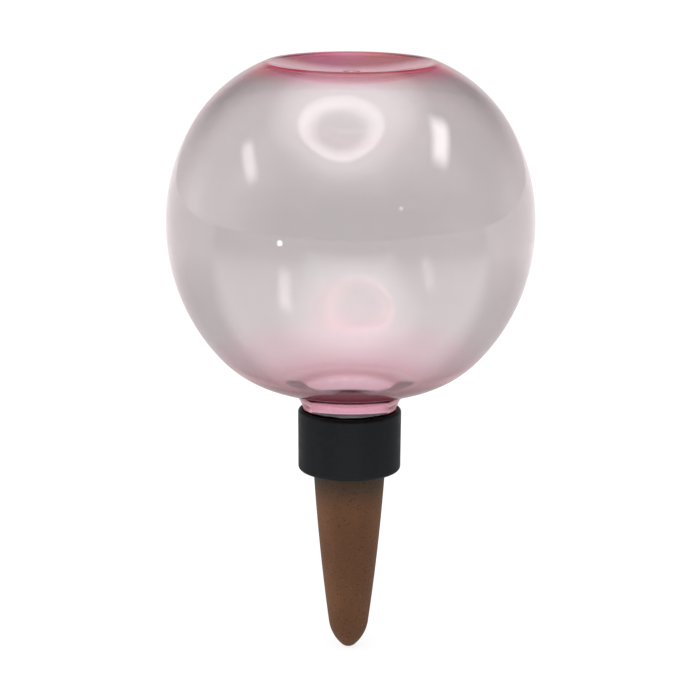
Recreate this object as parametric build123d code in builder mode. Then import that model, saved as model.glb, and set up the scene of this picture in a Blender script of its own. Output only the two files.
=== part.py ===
from build123d import *
from math import acos, atan, cos, degrees, radians, sin, tan
import os

# Watering globe: a clear blown reservoir, a rubber collar and a porous clay cone
# All lengths are in millimetres, all turns in degrees
# The origin is the centre of the collar's underside, which rests on the soil
# +Z runs up the axis that the three pieces share

os.makedirs("parts", exist_ok=True)

# Globe, outside: the outline leaves a straight band at the waist and turns towards the axis,
# first along the waist arc, then along the shoulder arc above or the hip arc below
# The hip arc ends where the neck's root round takes over
GLOBE_RADIUS = 65.0
WAIST_BAND_HEIGHT = 1.2
WAIST_ARC_SHARE = 1.05
SHOULDER_ARC_SHARE = 0.807
HIP_ARC_SHARE = 0.605
SHOULDER_START_TURN = 28.8
SHOULDER_END_TURN = 68.4
HIP_START_TURN = 43.0

# Globe, crown: a dish inside a narrow flat land, with a round moulding mark in its middle
CREST_LAND_WIDTH = 1.4
CREST_ROUND = 0.6
DISH_DEPTH = 4.2
NUB_RADIUS = 3.0
NUB_HEIGHT = 1.0
NUB_ROUND_SHARE = 0.6

# Globe, neck: it narrows a little towards its mouth, and its root round starts inside the collar
NECK_TOP_RADIUS = 16.67
NECK_NARROWING = 0.27
NECK_WALL = 3.0
NECK_ROOT_ROUND = 10.0
NECK_ROOT_DEPTH = 1.2
NECK_INNER_ROUND_SHARE = 0.6
MOUTH_ROUND = 0.8

# Globe, wall: thinnest at the waist, thicker towards the crown and the neck
WAIST_WALL = 1.0
CROWN_WALL = 2.0
SHOULDER_THICKENING = 3.0
HIP_THICKENING = 3.5
CROWN_INNER_ROUND = 6.0

# Collar: a web parts the socket for the neck from the socket for the cone
NECK_SOCKET_DEPTH = 10.9
WEB_THICKNESS = 2.5
CONE_SOCKET_DEPTH = 9.0
COLLAR_WALL = 1.5
COLLAR_DRAFT = 0.15
RIM_ROUND_SHARE = 0.8
LIP_ROUND_SHARE = 0.13
FOOT_ROUND = 1.4
PASSAGE_SETBACK = 0.8

# Collar, ribs: rings in both sockets that seal on the neck and on the cone
SOCKET_RELIEF = 0.3
FIT_CLEARANCE = 0.08
RIB_ROUND_RADIUS = 0.6
NECK_RIB_SHARES = [0.3, 0.8]
CONE_RIB_SHARES = [0.15, 0.65]

# Clay cone: a straight head inside the collar, a long taper and a rounded nose
CONE_HEAD_RADIUS = 12.9
CONE_HEAD_ROUND = 0.6
CONE_START_TURN = 3.7
CONE_TAPER_RADIUS = 820.0
CONE_TAPER_LENGTH = 57.7
CONE_NOSE_RADIUS = 14.8
CONE_NOSE_TURN = 39.5
CONE_WALL = 3.7

QUARTER_TURN = 90.0


def turned(turn):
    """Run towards the axis and climb of a unit arc that starts upright."""
    return 1 - cos(radians(turn)), sin(radians(turn))


def two_arcs(first_radius, first_turn, second_radius, second_turn):
    """Run towards the axis and climb of two arcs that follow each other."""
    first_run, first_climb = turned(first_turn)
    second_run, second_climb = turned(second_turn)
    run = first_radius * first_run + second_radius * (second_run - first_run)
    climb = first_radius * first_climb + second_radius * (second_climb - first_climb)
    return run, climb


def highest_outer(section):
    """The outermost of a section's highest corners."""
    return section.vertices().group_by(Axis.Y)[-1].sort_by(Axis.X)[-1]


def lowest_outer(section):
    """The outermost of a section's lowest corners."""
    return section.vertices().group_by(Axis.Y)[0].sort_by(Axis.X)[-1]


def narrowest(edges):
    """The smallest round edge of a group."""
    return edges.filter_by(GeomType.CIRCLE).sort_by(SortBy.RADIUS)[0]


# Globe, arcs
waist_arc_radius = GLOBE_RADIUS * WAIST_ARC_SHARE
shoulder_arc_radius = GLOBE_RADIUS * SHOULDER_ARC_SHARE
hip_arc_radius = GLOBE_RADIUS * HIP_ARC_SHARE

# The neck's straight part and its slope
neck_length = NECK_SOCKET_DEPTH - NECK_ROOT_DEPTH
neck_slope = atan(NECK_NARROWING / neck_length)

# Turn at which the hip arc meets the neck's root round
hip_start = radians(HIP_START_TURN)
hip_axis_radius = GLOBE_RADIUS - waist_arc_radius + (waist_arc_radius - hip_arc_radius) * cos(hip_start)
root_axis_radius = NECK_TOP_RADIUS + NECK_ROOT_ROUND * cos(neck_slope)
hip_end = acos((root_axis_radius - hip_axis_radius) / (hip_arc_radius + NECK_ROOT_ROUND))
hip_end_turn = degrees(hip_end)

# Heights, from the collar's underside up
seat_height = CONE_SOCKET_DEPTH + WEB_THICKNESS
collar_height = seat_height + NECK_SOCKET_DEPTH
neck_root_height = seat_height + neck_length
root_climb = NECK_ROOT_ROUND * (sin(hip_end) - sin(neck_slope))
hip_inset, hip_drop = two_arcs(waist_arc_radius, HIP_START_TURN, hip_arc_radius, hip_end_turn)
band_foot_height = neck_root_height + root_climb + hip_drop
band_top_height = band_foot_height + WAIST_BAND_HEIGHT
crest_inset, crest_climb = two_arcs(
    waist_arc_radius, SHOULDER_START_TURN, shoulder_arc_radius, SHOULDER_END_TURN
)
crest_radius = GLOBE_RADIUS - crest_inset
crest_height = band_top_height + crest_climb
dish_bottom_height = crest_height - DISH_DEPTH

# Radii that one piece takes from another
cone_bore_radius = CONE_HEAD_RADIUS - CONE_WALL
neck_mouth_radius = NECK_TOP_RADIUS - NECK_NARROWING
neck_bore_radius = neck_mouth_radius - NECK_WALL
neck_spread = NECK_NARROWING / neck_length
neck_rim_radius = neck_mouth_radius + neck_spread * NECK_SOCKET_DEPTH
collar_rim_radius = neck_rim_radius + SOCKET_RELIEF + COLLAR_WALL
collar_foot_radius = collar_rim_radius - COLLAR_DRAFT

# The dish is part of a ball that meets the crest's land
dish_rim_radius = crest_radius - CREST_LAND_WIDTH
dish_arc_radius = (dish_rim_radius**2 + DISH_DEPTH**2) / (2 * DISH_DEPTH)
dish_centre = (0, dish_bottom_height + dish_arc_radius)

# Globe
with BuildPart() as globe:
    with BuildSketch(Plane.XZ) as outer_section:
        with BuildLine():
            waist = Line((GLOBE_RADIUS, band_foot_height), (GLOBE_RADIUS, band_top_height))
            upper_waist = JernArc(waist @ 1, (0, 1), waist_arc_radius, SHOULDER_START_TURN)
            shoulder = JernArc(
                upper_waist @ 1,
                upper_waist % 1,
                shoulder_arc_radius,
                SHOULDER_END_TURN - SHOULDER_START_TURN,
            )
            lower_waist = JernArc(waist @ 0, (0, -1), waist_arc_radius, -HIP_START_TURN)
            hip = JernArc(
                lower_waist @ 1,
                lower_waist % 1,
                hip_arc_radius,
                HIP_START_TURN - hip_end_turn,
            )
            neck_root = JernArc(
                hip @ 1, hip % 1, NECK_ROOT_ROUND, hip_end_turn - degrees(neck_slope)
            )
            Polyline(
                neck_root @ 1,
                (neck_mouth_radius, seat_height),
                (0, seat_height),
                (0, crest_height),
                shoulder @ 1,
            )
        make_face()
        fillet(lowest_outer(outer_section), MOUTH_ROUND)
        with Locations(dish_centre):
            Circle(dish_arc_radius, mode=Mode.SUBTRACT)
        fillet(outer_section.vertices().group_by(Axis.Y)[-1], CREST_ROUND)
    revolve(axis=Axis.Z)
    with BuildSketch(Plane.XZ) as nub_section:
        with BuildLine():
            nub_root_height = dish_bottom_height - CROWN_WALL / 2
            nub_top_height = dish_bottom_height + NUB_HEIGHT
            Polyline(
                (0, nub_root_height),
                (NUB_RADIUS, nub_root_height),
                (NUB_RADIUS, nub_top_height),
                (0, nub_top_height),
                close=True,
            )
        make_face()
        fillet(highest_outer(nub_section), NUB_HEIGHT * NUB_ROUND_SHARE)
    revolve(axis=Axis.Z)
    with BuildSketch(Plane.XZ) as cavity_section:
        with BuildLine():
            inner_radius = GLOBE_RADIUS - WAIST_WALL
            inner_waist_arc_radius = waist_arc_radius - WAIST_WALL
            inner_waist = Line((inner_radius, band_foot_height), (inner_radius, band_top_height))
            inner_upper_waist = JernArc(
                inner_waist @ 1, (0, 1), inner_waist_arc_radius, SHOULDER_START_TURN
            )
            inner_shoulder = JernArc(
                inner_upper_waist @ 1,
                inner_upper_waist % 1,
                shoulder_arc_radius - WAIST_WALL - SHOULDER_THICKENING,
                QUARTER_TURN - SHOULDER_START_TURN,
            )
            inner_lower_waist = JernArc(
                inner_waist @ 0, (0, -1), inner_waist_arc_radius, -HIP_START_TURN
            )
            inner_hip = JernArc(
                inner_lower_waist @ 1,
                inner_lower_waist % 1,
                hip_arc_radius - WAIST_WALL - HIP_THICKENING,
                HIP_START_TURN - hip_end_turn,
            )
            floor_run = (inner_hip @ 1).X - neck_bore_radius
            bore_top_height = (inner_hip @ 1).Y - floor_run / tan(hip_end)
            Polyline(
                inner_hip @ 1,
                (neck_bore_radius, bore_top_height),
                (neck_bore_radius, seat_height),
                (0, seat_height),
                (0, (inner_shoulder @ 1).Y),
                inner_shoulder @ 1,
            )
        make_face()
        bore_corner = (neck_bore_radius, bore_top_height)
        bore_top = cavity_section.vertices().sort_by_distance(bore_corner)[0]
        fillet(bore_top, floor_run * NECK_INNER_ROUND_SHARE)
        with Locations(dish_centre):
            Circle(dish_arc_radius + CROWN_WALL, mode=Mode.SUBTRACT)
        fillet(highest_outer(cavity_section), CROWN_INNER_ROUND)
    revolve(axis=Axis.Z, mode=Mode.SUBTRACT)
globe.part.label = "globe"
export_step(globe.part, "parts/globe.step")

# Collar
with BuildPart() as collar:
    with BuildSketch(Plane.XZ) as sleeve_section:
        with BuildLine():
            Polyline(
                (0, 0),
                (collar_foot_radius, 0),
                (collar_rim_radius, collar_height),
                (0, collar_height),
                close=True,
            )
        make_face()
        fillet(highest_outer(sleeve_section), COLLAR_WALL * RIM_ROUND_SHARE)
        fillet(lowest_outer(sleeve_section), FOOT_ROUND)
    revolve(axis=Axis.Z)
    with BuildSketch(Plane.XZ):
        with BuildLine():
            Polyline(
                (0, seat_height),
                (neck_mouth_radius + SOCKET_RELIEF, seat_height),
                (neck_rim_radius + SOCKET_RELIEF, collar_height),
                (0, collar_height),
                close=True,
            )
        make_face()
    revolve(axis=Axis.Z, mode=Mode.SUBTRACT)
    with BuildSketch(Plane.XY):
        Circle(CONE_HEAD_RADIUS + SOCKET_RELIEF)
    extrude(amount=CONE_SOCKET_DEPTH, mode=Mode.SUBTRACT)
    with BuildSketch(Plane.XY.offset(CONE_SOCKET_DEPTH)):
        Circle(cone_bore_radius + PASSAGE_SETBACK)
    extrude(amount=WEB_THICKNESS, mode=Mode.SUBTRACT)
    with BuildSketch(Plane.XZ):
        for share in NECK_RIB_SHARES:
            rib_climb = share * NECK_SOCKET_DEPTH
            sealed_radius = neck_mouth_radius + neck_spread * rib_climb + FIT_CLEARANCE
            with Locations((sealed_radius + RIB_ROUND_RADIUS, seat_height + rib_climb)):
                Circle(RIB_ROUND_RADIUS)
        for share in CONE_RIB_SHARES:
            sealed_radius = CONE_HEAD_RADIUS + FIT_CLEARANCE
            with Locations((sealed_radius + RIB_ROUND_RADIUS, share * CONE_SOCKET_DEPTH)):
                Circle(RIB_ROUND_RADIUS)
    revolve(axis=Axis.Z)
    socket_rim = narrowest(collar.edges().group_by(Axis.Z)[-1])
    socket_foot = narrowest(collar.edges().group_by(Axis.Z)[0])
    fillet([socket_rim, socket_foot], COLLAR_WALL * LIP_ROUND_SHARE)
collar.part.label = "collar"
export_step(collar.part, "parts/collar.step")

# Clay cone
taper_turn = degrees(CONE_TAPER_LENGTH / CONE_TAPER_RADIUS)
nose_start_turn = CONE_START_TURN + taper_turn
nose_end_turn = nose_start_turn + CONE_NOSE_TURN
start_heading = (-sin(radians(CONE_START_TURN)), -cos(radians(CONE_START_TURN)))
with BuildPart() as clay_cone:
    with BuildSketch(Plane.XZ) as cone_section:
        with BuildLine():
            head = Polyline(
                (0, CONE_SOCKET_DEPTH),
                (CONE_HEAD_RADIUS, CONE_SOCKET_DEPTH),
                (CONE_HEAD_RADIUS, 0),
            )
            taper = JernArc(head @ 1, start_heading, CONE_TAPER_RADIUS, -taper_turn)
            nose = JernArc(taper @ 1, taper % 1, CONE_NOSE_RADIUS, -CONE_NOSE_TURN)
            tip_radius = (nose @ 1).X / cos(radians(nose_end_turn))
            tip = JernArc(nose @ 1, nose % 1, tip_radius, nose_end_turn - QUARTER_TURN)
            Line(tip @ 1, head @ 0)
        make_face()
        fillet(highest_outer(cone_section), CONE_HEAD_ROUND)
    revolve(axis=Axis.Z)
    with BuildSketch(Plane.XZ):
        with BuildLine():
            bore = Polyline(
                (0, CONE_SOCKET_DEPTH),
                (cone_bore_radius, CONE_SOCKET_DEPTH),
                (cone_bore_radius, 0),
            )
            inner_taper = JernArc(
                bore @ 1, start_heading, CONE_TAPER_RADIUS - CONE_WALL, -taper_turn
            )
            end_radius = (inner_taper @ 1).X / cos(radians(nose_start_turn))
            inner_end = JernArc(
                inner_taper @ 1, inner_taper % 1, end_radius, nose_start_turn - QUARTER_TURN
            )
            Line(inner_end @ 1, bore @ 0)
        make_face()
    revolve(axis=Axis.Z, mode=Mode.SUBTRACT)
clay_cone.part.label = "clay_cone"
export_step(clay_cone.part, "parts/clay_cone.step")
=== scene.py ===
# %% [markdown]
# # A watering globe
#
# A round, clear pink reservoir stands neck down in a black rubber collar, and the collar sits on a
# hollow cone of fired clay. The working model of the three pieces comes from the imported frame. This
# lesson gives each piece its finish, and builds a finer mesh of the globe, because its gloss would
# show the frame's facets.

# %% Load the frame
import math

import bmesh
import bpy
from mathutils import Matrix, Vector


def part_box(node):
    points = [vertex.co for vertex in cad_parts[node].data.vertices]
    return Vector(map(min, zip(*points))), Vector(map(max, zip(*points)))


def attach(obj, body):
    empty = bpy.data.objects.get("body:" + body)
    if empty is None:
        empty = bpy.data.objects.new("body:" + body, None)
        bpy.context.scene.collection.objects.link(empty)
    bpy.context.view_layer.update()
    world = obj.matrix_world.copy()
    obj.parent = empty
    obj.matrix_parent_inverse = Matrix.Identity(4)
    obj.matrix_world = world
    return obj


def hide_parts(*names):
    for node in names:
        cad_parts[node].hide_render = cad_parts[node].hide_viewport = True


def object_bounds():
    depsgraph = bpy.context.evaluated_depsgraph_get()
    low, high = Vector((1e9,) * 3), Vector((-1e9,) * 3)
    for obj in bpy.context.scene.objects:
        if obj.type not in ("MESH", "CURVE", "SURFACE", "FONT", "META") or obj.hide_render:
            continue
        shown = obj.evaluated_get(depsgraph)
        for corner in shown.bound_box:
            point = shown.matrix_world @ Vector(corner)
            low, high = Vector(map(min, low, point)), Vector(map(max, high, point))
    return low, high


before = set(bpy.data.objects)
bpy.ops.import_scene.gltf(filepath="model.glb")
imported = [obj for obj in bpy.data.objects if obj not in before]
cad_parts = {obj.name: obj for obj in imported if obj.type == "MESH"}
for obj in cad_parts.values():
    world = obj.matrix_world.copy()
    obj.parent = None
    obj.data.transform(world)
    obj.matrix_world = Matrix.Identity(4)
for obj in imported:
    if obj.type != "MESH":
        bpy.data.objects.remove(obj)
cad_low, cad_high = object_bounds()
MM = 0.001
whole = (cad_high - cad_low) / MM
print("height", round(whole.z, 1), "mm, width", round(whole.x, 1), "mm")

# %% [markdown]
# ## The camera
#
# The object is seen through a long lens from a little above, so its round edges look like flat
# ellipses. The lens, the distance and the tilt were fitted to the outline. The object leans by a
# third of a degree in the picture, which is a roll of the camera.

# %% Camera
CAMERA_PLACE = (0, -0.91945, 0.25941)
CAMERA_DOWN = 13.2
CAMERA_ROLL = 0.33
LENS_MM = 136.3
SENSOR_MM = 36

camera = bpy.data.objects.new("camera", bpy.data.cameras.new("camera"))
bpy.context.scene.collection.objects.link(camera)
camera.data.lens = LENS_MM
camera.data.sensor_width = SENSOR_MM
tilt = Matrix.Rotation(math.radians(90 - CAMERA_DOWN), 4, "X")
roll = Matrix.Rotation(math.radians(CAMERA_ROLL), 4, "Z")
camera.matrix_world = Matrix.Translation(CAMERA_PLACE) @ tilt @ roll
bpy.context.scene.camera = camera
bpy.context.scene.view_settings.view_transform = "Standard"
print("camera looks down", CAMERA_DOWN, "degrees through a lens of", LENS_MM, "mm")

# %% [markdown]
# ## The globe's section
#
# The globe is one blown piece, round about its axis. Its wall is cut through once, as a chain of arcs
# and straight runs, and the chain is spun into the shell. A vertex that is spun about a centre leaves
# an arc of edges behind it, so the arcs need no sums of their own.

# %% Drawing helpers
ARC_STEP = math.radians(1.25)


def start(bm, x, z):
    """The first vertex of a section, which lies in the XZ plane."""
    return bm.verts.new((x, 0, z))


def run(bm, tip, x, z):
    """A straight edge from the tip to a new place."""
    end = bmesh.ops.extrude_vert_indiv(bm, verts=[tip])["verts"][0]
    end.co = (x, 0, z)
    return end


def arc(bm, tip, centre, turn, step=ARC_STEP):
    """An arc round a centre, counterclockwise as the camera sees it."""
    steps = max(2, math.ceil(abs(turn) / step))
    made = bmesh.ops.spin(
        bm, geom=[tip], cent=(centre[0], 0, centre[1]), axis=(0, -1, 0), angle=turn, steps=steps
    )
    return [part for part in made["geom_last"] if isinstance(part, bmesh.types.BMVert)][0]


def round_corner(bm, corner, radius, segments=8):
    """A rounded corner of a chain, with the radius that a fillet would have."""
    arms = [edge.other_vert(corner).co - corner.co for edge in corner.link_edges]
    offset = radius / math.tan(arms[0].angle(arms[1]) / 2)
    bmesh.ops.bevel(
        bm,
        geom=[corner],
        offset=offset,
        offset_type="OFFSET",
        segments=segments,
        profile=0.5,
        affect="VERTICES",
        clamp_overlap=False,
        material=-1,
    )


print("one arc step", round(math.degrees(ARC_STEP), 2), "degrees")

# %% [markdown]
# The frame gives the globe's box, which sets its radius, its seat and its crest. The other sizes are
# those of the working model, so that the finer mesh has the same section. The waist, the shoulder and
# the hip are three arcs that take over from each other smoothly, and the neck's root is a hollow
# round that leaves the hip and runs into the slightly tapered neck. The wall is thin at the waist. It
# thickens towards the crown and the hip because its inner arcs are shorter.

# %% Sizes of the globe
globe_low, globe_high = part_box("globe")
GLOBE_RADIUS = globe_high.x
SEAT_HEIGHT = globe_low.z
CREST_HEIGHT = globe_high.z
GLOBE_CENTRE_HEIGHT = 90 * MM

WAIST_BAND = 1.2 * MM
WAIST_ARC = 1.05 * GLOBE_RADIUS
SHOULDER_ARC = 0.807 * GLOBE_RADIUS
HIP_ARC = 0.605 * GLOBE_RADIUS
SHOULDER_START, SHOULDER_END = math.radians(28.8), math.radians(68.4)
HIP_START = math.radians(43.0)

CREST_LAND = 1.4 * MM
CREST_ROUND = 0.6 * MM
DISH_DEPTH = 4.2 * MM
NUB_RADIUS = 3.0 * MM
NUB_HEIGHT = 1.0 * MM
NUB_ROUND = 0.6 * MM

NECK_TOP_RADIUS = 16.67 * MM
NECK_MOUTH_RADIUS = 16.4 * MM
NECK_LENGTH = 9.7 * MM
NECK_WALL = 3.0 * MM
NECK_ROOT_ROUND = 10.0 * MM
MOUTH_ROUND = 0.8 * MM
BORE_MOUTH_ROUND = 0.5 * MM
BORE_TOP_ROUND = 6.0 * MM

WAIST_WALL = 1.0 * MM
CROWN_WALL = 2.0 * MM
SHOULDER_THICKENING = 3.0 * MM
HIP_THICKENING = 3.5 * MM
CROWN_INNER_ROUND = 6.0 * MM

# %% Centres of the arcs


def ahead(centre, radius, turn):
    """The point of an arc at a turn up from level."""
    return (centre[0] + radius * math.cos(turn), centre[1] + radius * math.sin(turn))


def next_centre(centre, radius, turn, next_radius):
    """The centre of an arc that takes over smoothly at that turn."""
    return ahead(centre, radius - next_radius, turn)


waist_axis = GLOBE_RADIUS - WAIST_ARC
crest_climb = WAIST_ARC * math.sin(SHOULDER_START) + SHOULDER_ARC * (
    math.sin(SHOULDER_END) - math.sin(SHOULDER_START)
)
upper_waist = (waist_axis, CREST_HEIGHT - crest_climb)
lower_waist = (waist_axis, upper_waist[1] - WAIST_BAND)
shoulder = next_centre(upper_waist, WAIST_ARC, SHOULDER_START, SHOULDER_ARC)
hip = next_centre(lower_waist, WAIST_ARC, -HIP_START, HIP_ARC)

crest_radius = ahead(shoulder, SHOULDER_ARC, SHOULDER_END)[0]
dish_rim = crest_radius - CREST_LAND
dish_arc = (dish_rim**2 + DISH_DEPTH**2) / (2 * DISH_DEPTH)
dish = (0, CREST_HEIGHT - DISH_DEPTH + dish_arc)
dish_rim_turn = math.asin(dish_rim / dish_arc)
nub_turn = math.asin(NUB_RADIUS / dish_arc)
bore_radius = NECK_MOUTH_RADIUS - NECK_WALL

neck_draft = math.atan((NECK_TOP_RADIUS - NECK_MOUTH_RADIUS) / NECK_LENGTH)
root_level = NECK_TOP_RADIUS - hip[0] + NECK_ROOT_ROUND * math.cos(neck_draft)
hip_end = math.acos(root_level / (HIP_ARC + NECK_ROOT_ROUND))
neck_root = ahead(hip, HIP_ARC + NECK_ROOT_ROUND, -hip_end)

inner_waist_arc = WAIST_ARC - WAIST_WALL
inner_shoulder_arc = SHOULDER_ARC - WAIST_WALL - SHOULDER_THICKENING
inner_hip_arc = HIP_ARC - WAIST_WALL - HIP_THICKENING
inner_shoulder = next_centre(upper_waist, inner_waist_arc, SHOULDER_START, inner_shoulder_arc)
inner_hip = next_centre(lower_waist, inner_waist_arc, -HIP_START, inner_hip_arc)
inner_dish_arc = dish_arc + CROWN_WALL

to_dish = Vector(dish) - Vector(inner_shoulder)
far_side = (inner_shoulder_arc**2 + to_dish.length**2 - inner_dish_arc**2) / (
    2 * inner_shoulder_arc * to_dish.length
)
crown_turn = math.atan2(to_dish.y, to_dish.x) - math.acos(far_side)
crown_corner = ahead(inner_shoulder, inner_shoulder_arc, crown_turn)
crown_corner_turn = math.asin(crown_corner[0] / inner_dish_arc)
root_start = neck_root[1] - NECK_ROOT_ROUND * math.sin(neck_draft)
print("crest radius", round(crest_radius / MM, 2), "mm")
print("hip ends at", round(math.degrees(hip_end), 2), "degrees")
print("neck widens from", round(root_start / MM, 2), "mm up")

# %% [markdown]
# The section is drawn in one go: outside from the crown down, then inside from the mouth up. Its sharp
# corners are kept in a list and rounded at the end, because a rounded corner moves the vertices that
# the next run would start from. Spinning the section gives a closed shell with no seam, once the
# doubled vertices on the axis are merged.

# %% Globe mesh


def globe_mesh():
    """The shell as a closed mesh: outside from the crown down, then inside from the mouth up."""
    bm = bmesh.new()
    corners = []
    tip = start(bm, 0, CREST_HEIGHT - DISH_DEPTH + NUB_HEIGHT)
    tip = run(bm, tip, NUB_RADIUS, CREST_HEIGHT - DISH_DEPTH + NUB_HEIGHT)
    corners.append((tip, NUB_ROUND))
    tip = run(bm, tip, NUB_RADIUS, dish[1] - dish_arc * math.cos(nub_turn))
    tip = arc(bm, tip, dish, dish_rim_turn - nub_turn, step=ARC_STEP / 1.5)
    corners.append((tip, CREST_ROUND))
    tip = run(bm, tip, crest_radius, CREST_HEIGHT)
    corners.append((tip, CREST_ROUND))
    tip = arc(bm, tip, shoulder, SHOULDER_START - SHOULDER_END)
    tip = arc(bm, tip, upper_waist, -SHOULDER_START)
    tip = run(bm, tip, GLOBE_RADIUS, lower_waist[1])
    tip = arc(bm, tip, lower_waist, -HIP_START)
    tip = arc(bm, tip, hip, HIP_START - hip_end)
    tip = arc(bm, tip, neck_root, hip_end - neck_draft, step=2 * ARC_STEP)
    tip = run(bm, tip, NECK_MOUTH_RADIUS, SEAT_HEIGHT)
    corners.append((tip, MOUTH_ROUND))
    tip = run(bm, tip, bore_radius, SEAT_HEIGHT)
    corners.append((tip, BORE_MOUTH_ROUND))
    floor_end = ahead(inner_hip, inner_hip_arc, -hip_end)
    bore_top = floor_end[1] - (floor_end[0] - bore_radius) / math.tan(hip_end)
    tip = run(bm, tip, bore_radius, bore_top)
    corners.append((tip, BORE_TOP_ROUND))
    tip = run(bm, tip, *floor_end)
    tip = arc(bm, tip, inner_hip, hip_end - HIP_START)
    tip = arc(bm, tip, lower_waist, HIP_START)
    tip = run(bm, tip, GLOBE_RADIUS - WAIST_WALL, upper_waist[1])
    tip = arc(bm, tip, upper_waist, SHOULDER_START)
    tip = arc(bm, tip, inner_shoulder, crown_turn - SHOULDER_START)
    corners.append((tip, CROWN_INNER_ROUND))
    tip = arc(bm, tip, dish, -crown_corner_turn, step=ARC_STEP / 1.5)
    for corner, radius in corners:
        round_corner(bm, corner, radius)
    return bm


def spun(bm, name, steps):
    """A section spun round the axis into a closed, smooth mesh object."""
    bmesh.ops.spin(
        bm,
        geom=bm.verts[:] + bm.edges[:],
        cent=(0, 0, 0),
        axis=(0, 0, 1),
        angle=2 * math.pi,
        steps=steps,
        use_merge=True,
    )
    bmesh.ops.remove_doubles(bm, verts=bm.verts[:], dist=0.002 * MM)
    bmesh.ops.recalc_face_normals(bm, faces=bm.faces[:])
    for face in bm.faces:
        face.smooth = True
    open_edges = sum(1 for edge in bm.edges if not edge.is_manifold)
    mesh = bpy.data.meshes.new(name)
    bm.to_mesh(mesh)
    bm.free()
    piece = bpy.data.objects.new(name, mesh)
    bpy.context.scene.collection.objects.link(piece)
    triangles = sum(len(polygon.vertices) - 2 for polygon in mesh.polygons)
    print(name, triangles, "triangles,", open_edges, "open edges")
    return piece


blown_globe = spun(globe_mesh(), "blown_globe", steps=216)
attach(blown_globe, "globe")
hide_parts("globe")

# %% [markdown]
# ## Helpers for shader nodes
#
# Most finishes here are sums over node outputs. A few small functions keep them readable: `put` makes
# a node with its settings, `feed` fills a socket from a number or from another node, and `calc` does
# a single step of arithmetic. `ramp` is the smooth step from one number to another, which draws every
# soft edge in this scene, and `mixed` blends two colours.

# %% Node helpers


def put(tree, kind, **settings):
    """A new node with its own settings."""
    node = tree.nodes.new(kind)
    for name, value in settings.items():
        setattr(node, name, value)
    return node


def feed(tree, socket, value):
    """A link where the value is a socket, and a plain number or colour otherwise."""
    if isinstance(value, bpy.types.NodeSocket):
        tree.links.new(value, socket)
    else:
        socket.default_value = value


def calc(tree, operation, *values, clamp=False):
    """One Math node."""
    node = put(tree, "ShaderNodeMath", operation=operation, use_clamp=clamp)
    for socket, value in zip(node.inputs, values):
        feed(tree, socket, value)
    return node.outputs[0]


def ramp(tree, value, low, high, start=0.0, end=1.0):
    """A smooth step from one number to another while the value goes from low to high."""
    node = put(tree, "ShaderNodeMapRange", interpolation_type="SMOOTHSTEP")
    for name, number in (("From Min", low), ("From Max", high), ("To Min", start), ("To Max", end)):
        feed(tree, node.inputs[name], number)
    feed(tree, node.inputs["Value"], value)
    return node.outputs["Result"]


def mixed(tree, share, first, second):
    """A colour between two colours."""
    node = put(tree, "ShaderNodeMix", data_type="RGBA")
    feed(tree, node.inputs["Factor"], share)
    feed(tree, node.inputs["A"], first)
    feed(tree, node.inputs["B"], second)
    return node.outputs["Result"]


def rgba(colour):
    """A colour with the fourth number that a socket wants."""
    return (*colour, 1.0)


# %% [markdown]
# ## Two effects that the finishes share
#
# `height_step` is nought below one height and one above another, so it marks a band of any piece: the
# pink root of the neck, or the band under the collar where shade is painted on the clay. `grain` is a
# cloud of noise of a chosen size in the piece's own coordinates, so it stays put when the piece is
# lifted. Each is a node group with named sockets. A `height_step` whose Low lies above its High falls
# instead of rising.

# %% Node groups


def new_group(name, inputs, outputs):
    """An empty node group with number sockets, its input node and its output node."""
    group = bpy.data.node_groups.new(name, "ShaderNodeTree")
    for socket in inputs:
        group.interface.new_socket(name=socket, in_out="INPUT", socket_type="NodeSocketFloat")
    for socket in outputs:
        group.interface.new_socket(name=socket, in_out="OUTPUT", socket_type="NodeSocketFloat")
    return group, put(group, "NodeGroupInput"), put(group, "NodeGroupOutput")


height_step, given, result = new_group("height_step", ("Low", "High"), ("Share",))
height = put(height_step, "ShaderNodeSeparateXYZ")
feed(height_step, height.inputs[0], put(height_step, "ShaderNodeTexCoord").outputs["Object"])
step = ramp(height_step, height.outputs["Z"], given.outputs["Low"], given.outputs["High"])
feed(height_step, result.inputs["Share"], step)

grain, given, result = new_group("grain", ("Scale", "Detail", "Flatness"), ("Value",))
stretch = put(grain, "ShaderNodeCombineXYZ")
feed(grain, stretch.inputs["X"], 1.0)
feed(grain, stretch.inputs["Y"], 1.0)
feed(grain, stretch.inputs["Z"], given.outputs["Flatness"])
place = put(grain, "ShaderNodeVectorMath", operation="MULTIPLY")
feed(grain, place.inputs[0], put(grain, "ShaderNodeTexCoord").outputs["Object"])
feed(grain, place.inputs[1], stretch.outputs[0])
noise = put(grain, "ShaderNodeTexNoise")
feed(grain, noise.inputs["Vector"], place.outputs[0])
feed(grain, noise.inputs["Scale"], given.outputs["Scale"])
feed(grain, noise.inputs["Detail"], given.outputs["Detail"])
feed(grain, result.inputs["Value"], noise.outputs["Fac"])


def use_group(tree, group, **numbers):
    """A group's node in a material, with its inputs set by name."""
    node = put(tree, "ShaderNodeGroup", node_tree=group)
    for name, number in numbers.items():
        feed(tree, node.inputs[name.capitalize()], number)
    return node.outputs[0]


def new_material(name):
    """A new material, its node tree and its Principled shader."""
    material = bpy.data.materials.new(name)
    material.use_nodes = True
    return material, material.node_tree, material.node_tree.nodes["Principled BSDF"]


print("node groups:", [group.name for group in bpy.data.node_groups])

# %% [markdown]
# ## Clear pink plastic
#
# The globe was blown from one lump. Where the wall is thin it is almost clear, and where the lump was
# held, at the crown and at the root of the neck, it stays thick and deep pink. An absorption inside
# the solid could do all of this, but then each shade would need its own thickness of wall. Here a
# wall gets a tint instead. A ray that crosses a wall takes the base colour with it, and the tint goes
# by the distance from the axis, because the thick places are discs and rings round it. The upper and
# the lower half have a list each, and the neck has one plain tint.

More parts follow.
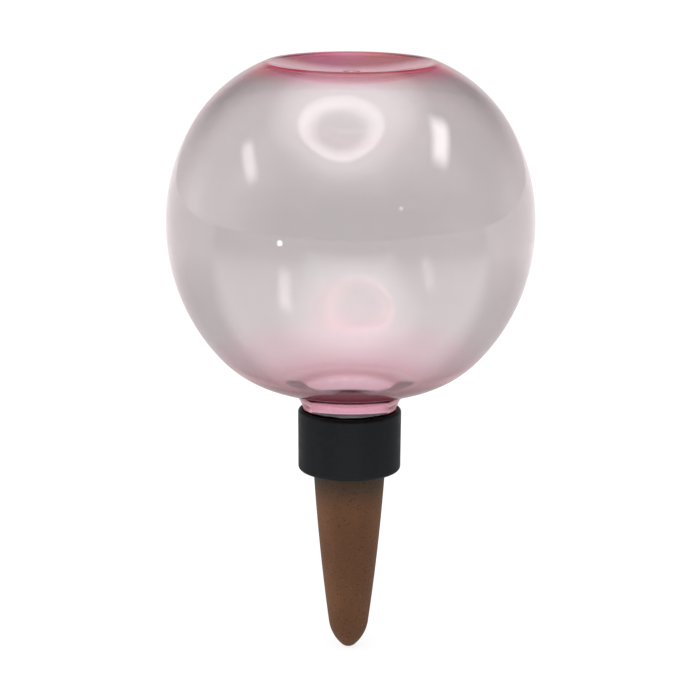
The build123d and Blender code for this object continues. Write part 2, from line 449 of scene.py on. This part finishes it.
# %% Tints by distance from the axis
CLEAR_TINT = (0.738, 0.752, 0.745)
HIP_TINT = (0.77, 0.64, 0.68)
FLOOR_TINT = (0.83, 0.54, 0.62)
ROOT_TINT = (0.52, 0.22, 0.26)
SHOULDER_TINT = (0.88, 0.56, 0.64)
DISH_TINT = (0.86, 0.42, 0.52)
DISH_MIDDLE_TINT = (0.95, 0.54, 0.64)
LOWER_TINTS_MM = (
    (0, ROOT_TINT),
    (18.0, ROOT_TINT),
    (24.0, FLOOR_TINT),
    (40.0, HIP_TINT),
    (51.0, CLEAR_TINT),
    (66.0, CLEAR_TINT),
)
UPPER_TINTS_MM = (
    (0, DISH_MIDDLE_TINT),
    (8.0, DISH_MIDDLE_TINT),
    (18.0, DISH_TINT),
    (26.0, DISH_TINT),
    (31.0, SHOULDER_TINT),
    (40.0, CLEAR_TINT),
    (66.0, CLEAR_TINT),
)


def tint_by_distance(tree, distance, stops):
    """Colours that change with a distance in metres, between stops in millimetres."""
    furthest = stops[-1][0]
    blend = put(tree, "ShaderNodeValToRGB")
    blend.color_ramp.interpolation = "EASE"
    while len(blend.color_ramp.elements) < len(stops):
        blend.color_ramp.elements.new(0.5)
    for element, (stop, colour) in zip(blend.color_ramp.elements, stops):
        element.position = stop / furthest
        element.color = rgba(colour)
    feed(tree, blend.inputs["Fac"], calc(tree, "DIVIDE", distance, furthest * MM))
    return blend.outputs["Color"]


clear_pink, tree, shader = new_material("clear_pink_plastic")
flat_place = put(tree, "ShaderNodeVectorMath", operation="MULTIPLY")
feed(tree, flat_place.inputs[0], put(tree, "ShaderNodeTexCoord").outputs["Object"])
feed(tree, flat_place.inputs[1], (1.0, 1.0, 0.0))
flat_length = put(tree, "ShaderNodeVectorMath", operation="LENGTH")
feed(tree, flat_length.inputs[0], flat_place.outputs[0])
from_axis = flat_length.outputs["Value"]
lower_tint = tint_by_distance(tree, from_axis, LOWER_TINTS_MM)
upper_tint = tint_by_distance(tree, from_axis, UPPER_TINTS_MM)
print("clear wall passes", CLEAR_TINT, "root passes", ROOT_TINT, "crown passes", DISH_TINT)

# %% [markdown]
# The thick crown isn't one even pink. The plastic flowed while it was blown, and left faint streaks
# of magenta and of red-brown in it. One low noise leans the tint to either side, and the streaks fade
# out where the wall gets thin.

# %% Streaks in the crown
MAGENTA_STREAK = (1.0, 0.87, 1.0)
BROWN_STREAK = (1.0, 1.0, 0.85)
STREAK_SCALE = 42.0
STREAKS_END = 40 * MM
STREAKS_FULL = 30 * MM

flow = ramp(tree, use_group(tree, grain, scale=STREAK_SCALE, detail=1.0, flatness=2.0), 0.4, 0.6)
streaks = put(tree, "ShaderNodeMix", data_type="RGBA", blend_type="MULTIPLY")
feed(tree, streaks.inputs["Factor"], ramp(tree, from_axis, STREAKS_END, STREAKS_FULL))
feed(tree, streaks.inputs["A"], upper_tint)
feed(tree, streaks.inputs["B"], mixed(tree, flow, rgba(MAGENTA_STREAK), rgba(BROWN_STREAK)))
print("streaks reach", round(STREAKS_END / MM, 1), "mm from the axis")

# %% [markdown]
# Under the globe the line of sight slips along the wall, so it runs through more of the plastic, and
# the real one looks pink-brown there. Layer Weight's Facing output rises with that slant, and leans
# the tint of the underside towards a deeper one. The neck keeps its own tint below the root.

# %% Tint of the whole wall
NECK_TINT = (0.90, 0.82, 0.88)
NECK_TINT_END = 29.0 * MM
ROOT_TINT_START = 31.0 * MM
SLANT_TINT = (0.60, 0.34, 0.37)
UNDERSIDE_FULL = 40.0 * MM
UNDERSIDE_END = 50.0 * MM

upper_half = use_group(tree, height_step, low=GLOBE_CENTRE_HEIGHT, high=GLOBE_CENTRE_HEIGHT + MM)
above_neck = use_group(tree, height_step, low=NECK_TINT_END, high=ROOT_TINT_START)
underside = use_group(tree, height_step, low=UNDERSIDE_END, high=UNDERSIDE_FULL)
slant = ramp(tree, put(tree, "ShaderNodeLayerWeight").outputs["Facing"], 0.6, 0.9)
slanted = calc(tree, "MULTIPLY", calc(tree, "MULTIPLY", underside, above_neck), slant)
tint = mixed(tree, above_neck, rgba(NECK_TINT), lower_tint)
tint = mixed(tree, slanted, tint, rgba(SLANT_TINT))
tint = mixed(tree, upper_half, tint, streaks.outputs["Result"])
feed(tree, shader.inputs["Base Color"], tint)
feed(tree, shader.inputs["Transmission Weight"], 1.0)
feed(tree, shader.inputs["IOR"], 1.49)
print("a slanted wall passes", SLANT_TINT, "below", round(UNDERSIDE_FULL / MM, 1), "mm")

# %% [markdown]
# Around the neck's root the blown face is a little dull, and the hip has about half of that haze.
# The whole globe is slightly wavy, which bends its highlights a little. The waviness is a bump made
# of large, low noise.

# %% Haze and waviness
ROOT_ROUGHNESS = 0.25
HIP_ROUGHNESS = 0.14
HIP_HAZE_END, HIP_HAZE_FULL = 48 * MM, 36 * MM
ROOT_HAZE_END, ROOT_HAZE_FULL = 24 * MM, 19 * MM
WAVE_SCALE = 38.0
WAVE_DEPTH = 0.12 * MM

hip_haze = ramp(tree, from_axis, HIP_HAZE_END, HIP_HAZE_FULL, 0.0, HIP_ROUGHNESS)
root_haze = ramp(tree, from_axis, ROOT_HAZE_END, ROOT_HAZE_FULL, hip_haze, ROOT_ROUGHNESS)
lower_half = calc(tree, "SUBTRACT", above_neck, upper_half, clamp=True)
feed(tree, shader.inputs["Roughness"], calc(tree, "MULTIPLY", root_haze, lower_half))

wave = put(tree, "ShaderNodeBump")
feed(tree, wave.inputs["Distance"], WAVE_DEPTH)
feed(tree, wave.inputs["Height"], use_group(tree, grain, scale=WAVE_SCALE, detail=0.0, flatness=1.0))
feed(tree, shader.inputs["Normal"], wave.outputs["Normal"])
print("roughness", ROOT_ROUGHNESS, "at the root,", HIP_ROUGHNESS, "at the hip")

# %% [markdown]
# Some light stays caught inside the thick rim and the neck's root, and bounces there many times
# before it gets out. The renderer follows only a few mirror bounces and paints what is left black.
# So a ray that is past its third one meets a plain pink glow here, which stands for the bounces
# that are cut off. A ray with fewer mirror bounces never meets it.

# %% Caught light
BOUNCES_FOLLOWED = 3.5
CAUGHT_IN_CROWN = (0.42, 0.24, 0.29)
CAUGHT_IN_ROOT = (0.15, 0.06, 0.075)
CAUGHT_IN_WALL = (0.50, 0.46, 0.46)
THIN_WALL_START, THIN_WALL_FULL = 35 * MM, 42 * MM

bounces = put(tree, "ShaderNodeLightPath").outputs["Glossy Depth"]
thin_wall = ramp(tree, from_axis, THIN_WALL_START, THIN_WALL_FULL)
caught = mixed(tree, upper_half, rgba(CAUGHT_IN_ROOT), rgba(CAUGHT_IN_CROWN))
caught = mixed(tree, thin_wall, caught, rgba(CAUGHT_IN_WALL))
feed(tree, shader.inputs["Emission Color"], caught)
feed(tree, shader.inputs["Emission Strength"], calc(tree, "GREATER_THAN", bounces, BOUNCES_FOLLOWED))
print("caught light in the crown", CAUGHT_IN_CROWN)

# %% [markdown]
# A faint absorption inside the solid deepens the colour where light runs lengthways in the wall.

# %% Absorption
PINK_DENSITY = 100.0
PINK_COLOUR = (0.75, 0.1, 0.25)

absorb = put(tree, "ShaderNodeVolumeAbsorption")
feed(tree, absorb.inputs["Color"], rgba(PINK_COLOUR))
feed(tree, absorb.inputs["Density"], PINK_DENSITY)
feed(tree, tree.nodes["Material Output"].inputs["Volume"], absorb.outputs["Volume"])
blown_globe.data.materials.append(clear_pink)
print("blown_globe takes", clear_pink.name)

# %% [markdown]
# ## Black rubber
#
# The collar is moulded rubber: nearly black, satin, with a haze that shows where it is seen at a
# glancing angle. A very fine grain from the mould breaks the shine, and a little dust in it lifts the
# colour here and there.

# %% Black rubber
RUBBER_DARK = (0.0055, 0.0068, 0.0080)
RUBBER_DUSTY = (0.0090, 0.0108, 0.0122)
RUBBER_SPECULAR = 0.10
CLOUD_SCALE = 220.0
SKIN_SCALE = 2600.0
SKIN_DEPTH = 0.01 * MM

rubber, tree, shader = new_material("black_rubber")
cloud = use_group(tree, grain, scale=CLOUD_SCALE, detail=2.0, flatness=1.0)
dust = ramp(tree, cloud, 0.45, 0.75)
feed(tree, shader.inputs["Base Color"], mixed(tree, dust, rgba(RUBBER_DARK), rgba(RUBBER_DUSTY)))
feed(tree, shader.inputs["Roughness"], ramp(tree, cloud, 0.3, 0.8, 0.42, 0.55))
feed(tree, shader.inputs["Specular IOR Level"], RUBBER_SPECULAR)
skin = put(tree, "ShaderNodeBump")
feed(tree, skin.inputs["Distance"], SKIN_DEPTH)
feed(tree, skin.inputs["Height"], use_group(tree, grain, scale=SKIN_SCALE, detail=2.0, flatness=1.0))
feed(tree, shader.inputs["Normal"], skin.outputs["Normal"])
print(rubber.name, "has a skin", round(SKIN_DEPTH / MM, 3), "mm deep")

# %% [markdown]
# ## Fired clay
#
# The cone is pressed clay, fired without a glaze so that water can pass. Its colour drifts a little
# over its length, and fine pores and pale grains speckle it. Just under the collar its colour is
# painted darker and greyer as painted shade of the collar, and that band is not quite as dull.

# %% Colour of the clay
CLAY_PALE = (0.160, 0.070, 0.034)
CLAY_DEEP = (0.122, 0.053, 0.026)
CLAY_PORE = (0.070, 0.030, 0.015)
CLAY_GRAIN = (0.240, 0.130, 0.075)
PORE_EDGES = (0.42, 0.30)
GRAIN_EDGES = (0.66, 0.76)
# Painted shade: just under the collar the clay's colour is multiplied by this darker, greyer colour.
PAINTED_COLLAR_SHADE = (0.36, 0.50, 0.60)
COLLAR_SHADE_REACH = 15.0 * MM

clay, tree, shader = new_material("fired_clay")
drift = use_group(tree, grain, scale=55.0, detail=2.0, flatness=0.6)
speckle = use_group(tree, grain, scale=1500.0, detail=3.0, flatness=1.0)
colour = mixed(tree, ramp(tree, drift, 0.35, 0.65), rgba(CLAY_DEEP), rgba(CLAY_PALE))
colour = mixed(tree, ramp(tree, speckle, *PORE_EDGES), colour, rgba(CLAY_PORE))
colour = mixed(tree, ramp(tree, speckle, *GRAIN_EDGES), colour, rgba(CLAY_GRAIN))
# The band under the collar where shade is painted into the clay's colour. It also makes the clay there
# a little less rough.
collar_shade = use_group(tree, height_step, low=-COLLAR_SHADE_REACH, high=-0.5 * MM)
shaded_colour = put(tree, "ShaderNodeMix", data_type="RGBA", blend_type="MULTIPLY")
feed(tree, shaded_colour.inputs["Factor"], collar_shade)
feed(tree, shaded_colour.inputs["A"], colour)
feed(tree, shaded_colour.inputs["B"], rgba(PAINTED_COLLAR_SHADE))
feed(tree, shader.inputs["Base Color"], shaded_colour.outputs["Result"])
feed(tree, shader.inputs["Roughness"], ramp(tree, collar_shade, 0.0, 1.0, 0.92, 0.78))
feed(tree, shader.inputs["Specular IOR Level"], 0.25)
feed(tree, shader.inputs["Sheen Weight"], 0.06)
feed(tree, shader.inputs["Sheen Roughness"], 0.4)
print("damp clay reaches", round(COLLAR_SHADE_REACH / MM, 1), "mm below the collar")

# %% [markdown]
# Faint rings run round the cone where it was turned and wiped. They are the same noise, squeezed along
# the axis. Two bumps follow each other: the rings first, and the pores on top of them.

# %% Relief of the clay
RING_SCALE = 40.0
RING_FLATNESS = 22.0
RING_DEPTH = 0.12 * MM
PORE_DEPTH = 0.05 * MM

lines = put(tree, "ShaderNodeBump")
feed(tree, lines.inputs["Distance"], RING_DEPTH)
rings = use_group(tree, grain, scale=RING_SCALE, detail=3.0, flatness=RING_FLATNESS)
feed(tree, lines.inputs["Height"], rings)
pores = put(tree, "ShaderNodeBump")
feed(tree, pores.inputs["Distance"], PORE_DEPTH)
feed(tree, pores.inputs["Height"], speckle)
feed(tree, pores.inputs["Normal"], lines.outputs["Normal"])
feed(tree, shader.inputs["Normal"], pores.outputs["Normal"])

for node, finish in (("collar", rubber), ("clay_cone", clay)):
    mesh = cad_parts[node].data
    mesh.materials.clear()
    mesh.materials.append(finish)
    print(node, "takes", finish.name)

# %% [markdown]
# ## The studio
#
# A clear globe shows little of itself: it shows the room. What it mirrors was read off its highlights,
# each one the direction of a light: a ring lamp above and in front with a wide soft glow round it, a
# tall strip at each side, a small lamp at the left, a pale ceiling, a bright table in front, pale
# paper behind and a dark gap where the camera stands.
#
# The world draws the ceiling, the walls and the paper's far end. A direction has three parts, which
# are how far it goes to the side, away from the camera and up. Divided by the last one, the first two
# are places on a flat ceiling, so the ceiling's edges come out straight.

# %% Ceiling
CEILING_HALF = 0.97
CEILING_TAPER = -0.55
CEILING_EDGE = 0.3
LOWEST_CLIMB = 0.05

world = bpy.data.worlds.new("studio")
bpy.context.scene.world = world
world.use_nodes = True
tree = world.node_tree
direction = put(tree, "ShaderNodeSeparateXYZ")
feed(tree, direction.inputs[0], put(tree, "ShaderNodeTexCoord").outputs["Generated"])
side, away, up = direction.outputs
climb = calc(tree, "MAXIMUM", up, LOWEST_CLIMB)
across = calc(tree, "ABSOLUTE", calc(tree, "DIVIDE", side, climb))
along = calc(tree, "DIVIDE", away, climb)
half_width = calc(tree, "MULTIPLY_ADD", along, CEILING_TAPER, CEILING_HALF)
inside_sides = ramp(tree, calc(tree, "SUBTRACT", half_width, across), 0.0, CEILING_EDGE)
inside_back = ramp(tree, along, 2.2, 1.4)
inside_front = ramp(tree, up, 0.22, 0.30)
ceiling_mask = calc(tree, "MULTIPLY", calc(tree, "MULTIPLY", inside_sides, inside_back), inside_front)
ceiling_low = ramp(tree, up, 0.45, 0.8, 0.2, 1.2)
ceiling_glow = calc(tree, "ADD", ceiling_low, ramp(tree, up, 0.8, 1.0, 0.0, 1.4))
print("ceiling half width", CEILING_HALF, "at one height up")

# %% Walls and far paper
WALL_DARK = 0.15
SIDE_WALL_GLOW = 0.6
SIDE_WALL_LEAN = -0.4
FAR_PAPER_GLOW = 0.55

side_walls = calc(tree, "MULTIPLY", ramp(tree, away, -0.8, -0.1), ramp(tree, away, 0.85, 0.3))
side_level = calc(tree, "MULTIPLY_ADD", side, SIDE_WALL_LEAN, SIDE_WALL_GLOW)
side_glow = calc(tree, "MULTIPLY", side_walls, side_level)
low_back = calc(tree, "MULTIPLY", ramp(tree, up, 0.4, 0.0), ramp(tree, away, 0.1, 0.5))
far_paper = calc(tree, "MAXIMUM", ramp(tree, away, 0.90, 0.97), low_back)
far_paper = calc(tree, "MULTIPLY", far_paper, FAR_PAPER_GLOW)
wall_glow = calc(tree, "ADD", calc(tree, "ADD", side_glow, far_paper), WALL_DARK)
room = put(tree, "ShaderNodeMix", data_type="FLOAT")
feed(tree, room.inputs[0], ceiling_mask)
feed(tree, room.inputs[2], wall_glow)
feed(tree, room.inputs[3], ceiling_glow)
print("side walls glow", SIDE_WALL_GLOW, "in the middle and", SIDE_WALL_LEAN, "more to the right")

# %% [markdown]
# Rays that reach the world straight, or through the globe without a mirror bounce, see plain white,
# which is the background of the picture. All others see the room.

# %% What each ray sees
path = put(tree, "ShaderNodeLightPath")
straight = calc(tree, "LESS_THAN", path.outputs["Glossy Depth"], 0.5)
through = calc(tree, "MULTIPLY", path.outputs["Is Transmission Ray"], straight)
seen_white = calc(tree, "MAXIMUM", path.outputs["Is Camera Ray"], through)
glow = put(tree, "ShaderNodeMix", data_type="FLOAT")
feed(tree, glow.inputs[0], seen_white)
feed(tree, glow.inputs[2], room.outputs[0])
feed(tree, glow.inputs[3], 1.0)
background = tree.nodes["Background"]
feed(tree, background.inputs["Color"], rgba((1, 1, 1)))
feed(tree, background.inputs["Strength"], glow.outputs[0])
print("the world has", len(tree.nodes), "nodes")

# %% [markdown]
# The object stands on a pale sheet. Its base is a mid grey and it has a glow of its own, so it comes
# out white and the object's soft shadow still falls on it. The glow also lights the clay and the
# rubber from below, as white paper does. In mirror bounces the sheet is a table instead: shaded near
# the object, bright in front and fading further out, with pale paper behind.

# %% Sheet
SHEET_HALF = 4.0
SHEET_GREY = 0.2

floor_bm = bmesh.new()
bmesh.ops.create_grid(floor_bm, x_segments=1, y_segments=1, size=SHEET_HALF)
bmesh.ops.translate(floor_bm, verts=floor_bm.verts[:], vec=(0, 0, cad_low.z))
floor_mesh = bpy.data.meshes.new("floor")
floor_bm.to_mesh(floor_mesh)
floor_bm.free()
floor = bpy.data.objects.new("floor", floor_mesh)
bpy.context.scene.collection.objects.link(floor)

pale_floor, tree, shader = new_material("pale_floor")
feed(tree, shader.inputs["Base Color"], rgba((SHEET_GREY, SHEET_GREY, SHEET_GREY)))
feed(tree, shader.inputs["Specular IOR Level"], 0.0)
feed(tree, shader.inputs["Emission Color"], rgba((1, 1, 1)))
floor_mesh.materials.append(pale_floor)
print("sheet", 2 * SHEET_HALF, "m wide at", round(cad_low.z / MM, 1), "mm")

# %% Table that the globe mirrors
TABLE_GLOW = 1.5
FAR_GLOW = 0.35
SHADED_GLOW = 0.3
PAPER_GLOW = 0.75

spot = put(tree, "ShaderNodeSeparateXYZ")
feed(tree, spot.inputs[0], put(tree, "ShaderNodeTexCoord").outputs["Object"])
sideways, back, _ = spot.outputs
from_origin = put(tree, "ShaderNodeVectorMath", operation="LENGTH")
feed(tree, from_origin.inputs[0], put(tree, "ShaderNodeTexCoord").outputs["Object"])
spread = from_origin.outputs["Value"]
lit_front = ramp(tree, spread, 0.3, 1.0, TABLE_GLOW, FAR_GLOW)
paper_back = ramp(tree, spread, 0.25, 0.7, FAR_GLOW, PAPER_GLOW)
table = ramp(tree, back, 0.05, -0.05, paper_back, lit_front)
table = ramp(tree, spread, 0.04, 0.13, SHADED_GLOW, table)
print("table glows", TABLE_GLOW, "in front and", PAPER_GLOW, "behind")

# %% [markdown]
# The window throws a patch on the table in front of the object. It is narrow near the object and wide
# towards the camera, so its edges run away from the axis as it comes forward.

# %% Window patch and the sheet's glow
WINDOW_GLOW = 1.2
WINDOW_SPREAD = 0.45
FLOOR_GLOW = 0.85

in_front = ramp(tree, back, -0.06, -0.13)
reach_front = ramp(tree, back, -1.2, -0.6)
off_axis = calc(tree, "MULTIPLY_ADD", back, WINDOW_SPREAD, calc(tree, "ABSOLUTE", sideways))
in_middle = ramp(tree, off_axis, 0.12, -0.06)
window = calc(tree, "MULTIPLY", calc(tree, "MULTIPLY", in_front, reach_front), in_middle)
table = calc(tree, "MULTIPLY_ADD", window, WINDOW_GLOW, table)
path = put(tree, "ShaderNodeLightPath")
mirrored = calc(tree, "GREATER_THAN", path.outputs["Glossy Depth"], 0.5)
shown = put(tree, "ShaderNodeMix", data_type="FLOAT")
feed(tree, shown.inputs[0], mirrored)
feed(tree, shown.inputs[2], FLOOR_GLOW)
feed(tree, shown.inputs[3], table)
feed(tree, shader.inputs["Emission Strength"], shown.outputs[0])
print("sheet glows", FLOOR_GLOW, "outside mirror bounces")

# %% [markdown]
# The sharper lights are area lamps. The front wall mirrors each one, and the back wall mirrors it
# again upside down; the lamp hangs where the two sight lines cross. An area lamp's own pattern is
# drawn over its face, from nought to one across and along it, so a lamp can have soft edges and a
# ring can be a bright band on a wide glow.

# %% Lamp helpers
GLOBE_CENTRE = Vector((0, 0, GLOBE_CENTRE_HEIGHT))


def lamp(name, place, facing, length_way, size, radiance, shape):
    """An area lamp of a brightness, with its length along a given way."""
    data = bpy.data.lights.new(name, "AREA")
    data.shape = shape
    data.size, data.size_y = size
    share = math.pi / 4 if shape == "ELLIPSE" else 1.0
    data.energy = radiance * math.pi * size[0] * size[1] * share
    data.use_nodes = True
    back = -facing.normalized()
    length_way = (length_way - length_way.project(back)).normalized()
    turn = Matrix((length_way.cross(back), length_way, back)).transposed().to_4x4()
    holder = bpy.data.objects.new(name, data)
    holder.matrix_world = Matrix.Translation(place) @ turn
    bpy.context.scene.collection.objects.link(holder)
    print(name, "size", [round(v, 3) for v in size], "m, radiance", radiance)
    return data.node_tree


def lamp_face(tree):
    """The two places on a lamp's face, across and along, from nought to one."""
    face = put(tree, "ShaderNodeSeparateXYZ")
    feed(tree, face.inputs[0], put(tree, "ShaderNodeNewGeometry").outputs["Parametric"])
    return face.outputs[0], face.outputs[1]


# %% [markdown]
# The ring lamp hangs above the globe and faces down. Its face is dim in the middle, then comes the
# bright band, and a halo fades from the band out to the edge.

# %% Ring lamp
RING_PLACE = Vector((-0.05, -0.2275, 0.54))
RING_SIZE = (0.82, 1.107)
RING_RADIANCE = 3.7
RING_MIDDLE = 0.15
HALO = 0.34
DOWN = Vector((0, 0, -1))
AWAY = Vector((0, 1, 0))

tree = lamp("ring_lamp", RING_PLACE, DOWN, AWAY, RING_SIZE, RING_RADIANCE, "ELLIPSE")
across, along = lamp_face(tree)
reach = put(tree, "ShaderNodeVectorMath", operation="DISTANCE")
place = put(tree, "ShaderNodeCombineXYZ")
feed(tree, place.inputs[0], across)
feed(tree, place.inputs[1], along)
feed(tree, reach.inputs[0], place.outputs[0])
feed(tree, reach.inputs[1], (0.5, 0.5, 0.0))
radius = calc(tree, "MULTIPLY", reach.outputs["Value"], 2.0)
inner_edge = ramp(tree, radius, 0.2, 0.41, RING_MIDDLE, 1.0)
band = calc(tree, "MULTIPLY", inner_edge, ramp(tree, radius, 0.54, 0.43))
halo = calc(tree, "MULTIPLY", ramp(tree, radius, 0.42, 0.50, 0.0, HALO), ramp(tree, radius, 1.0, 0.5))
feed(tree, tree.nodes["Emission"].inputs["Strength"], calc(tree, "MAXIMUM", band, halo))

# %% [markdown]
# A tall strip lamp stands at each side of the globe and faces it. Both are soft at their edges and
# fade towards the upper end, as their highlights do.

# %% Strips


def strip(name, low, high, width, radiance):
    """A straight lamp between two places, with soft edges and a long fade towards its upper end."""
    middle = (low + high) / 2
    size = (width, (high - low).length)
    tree = lamp(name, middle, GLOBE_CENTRE - middle, high - low, size, radiance, "RECTANGLE")
    across, along = lamp_face(tree)
    edges = calc(tree, "MULTIPLY", ramp(tree, across, 0.0, 0.4), ramp(tree, across, 1.0, 0.6))
    ends = calc(tree, "MULTIPLY", ramp(tree, along, 0.0, 0.3), ramp(tree, along, 1.0, 0.65))
    feed(tree, tree.nodes["Emission"].inputs["Strength"], calc(tree, "MULTIPLY", edges, ends))


RIGHT_STRIP = (Vector((0.190, -0.130, 0.215)), Vector((0.155, 0.012, 0.306)))
LEFT_STRIP = (Vector((-0.205, -0.130, 0.180)), Vector((-0.235, -0.028, 0.277)))
strip("right_strip", *RIGHT_STRIP, width=0.062, radiance=6.0)
strip("left_strip", *LEFT_STRIP, width=0.050, radiance=3.4)

# %% [markdown]
# One tiny round lamp at the left makes the small bright dot on the front wall and its twin on the
# back wall.

# %% Small lamp
SMALL_LAMP_PLACE = Vector((-0.145, -0.188, 0.076))
SMALL_LAMP_SIZE = (0.012, 0.012)
SMALL_LAMP_RADIANCE = 10.0
UP = Vector((0, 0, 1))

to_globe = GLOBE_CENTRE - SMALL_LAMP_PLACE
lamp("small_lamp", SMALL_LAMP_PLACE, to_globe, UP, SMALL_LAMP_SIZE, SMALL_LAMP_RADIANCE, "ELLIPSE")
